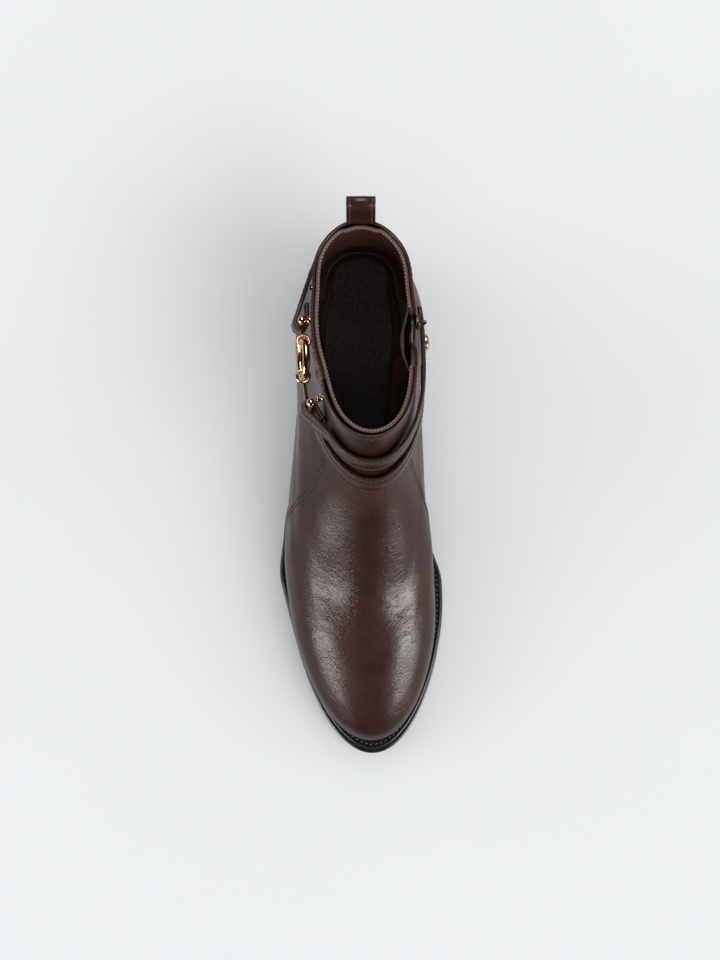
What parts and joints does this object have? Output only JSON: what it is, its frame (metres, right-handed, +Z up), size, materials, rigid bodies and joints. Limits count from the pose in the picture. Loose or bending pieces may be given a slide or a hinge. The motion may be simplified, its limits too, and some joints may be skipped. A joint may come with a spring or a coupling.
{
  "type": "strap ankle boot",
  "caption": "Right ankle boot in dark brown leather with straps round the shaft, a gold bit at the side, a zip, a pull loop, a welted rubber sole and a block heel.",
  "frame": {"origin": "on the floor, at the middle of the heel's ground face", "axes": "+Z up, the toe points to -Y and the heel to +Y, the lateral side is -X and the medial side +X"},
  "size_m": [0.0859, 0.2749, 0.1702],
  "materials": {
    "upper_leather": "dark brown smooth leather, semi-gloss, fine grain",
    "strap_leather": "dark brown smooth leather with painted brown edges",
    "lining_leather": "reddish dark brown lining leather, satin",
    "footbed": "black pebbled footbed pad, matt",
    "sole_rubber": "black moulded rubber, satin edge",
    "gold_metal": "polished pale gold plating",
    "zip_cloth": "dark brown woven zip tape",
    "dark_metal": "dark plated metal"
  },
  "bodies": {
    "boot": {"upper": "upper_leather", "upper_strap": "strap_leather", "lower_strap": "strap_leather", "rear_strap": "strap_leather", "closing_tab": "strap_leather", "pull_loop": "strap_leather", "zip_guard": "lining_leather", "insole": "footbed", "outsole": "sole_rubber", "welt": "sole_rubber", "heel": "sole_rubber", "top_lift": "sole_rubber", "front_bar": "gold_metal", "rear_bar": "gold_metal", "front_stud": "gold_metal", "rear_stud": "gold_metal", "strap_post": "gold_metal", "snap_cap": "gold_metal", "zip_tape": "zip_cloth", "zip_slider": "dark_metal"},
    "pull": {"zip_pull": "dark_metal"},
    "ring": {"bit_ring": "gold_metal"}
  },
  "joints": [
    {"name": "pull_flip", "type": "hinge", "parent": "boot", "child": "pull", "pos_m": [0.02934, -0.01689, 0.14234], "axis": [0.0663, -0.925, 0.374], "range_deg": [0, 150]},
    {"name": "ring_rock", "type": "hinge", "parent": "boot", "child": "ring", "pos_m": [-0.0275, -0.0326, 0.1126], "axis": [0, -1, 0], "range_deg": [0, 24]}
  ]
}
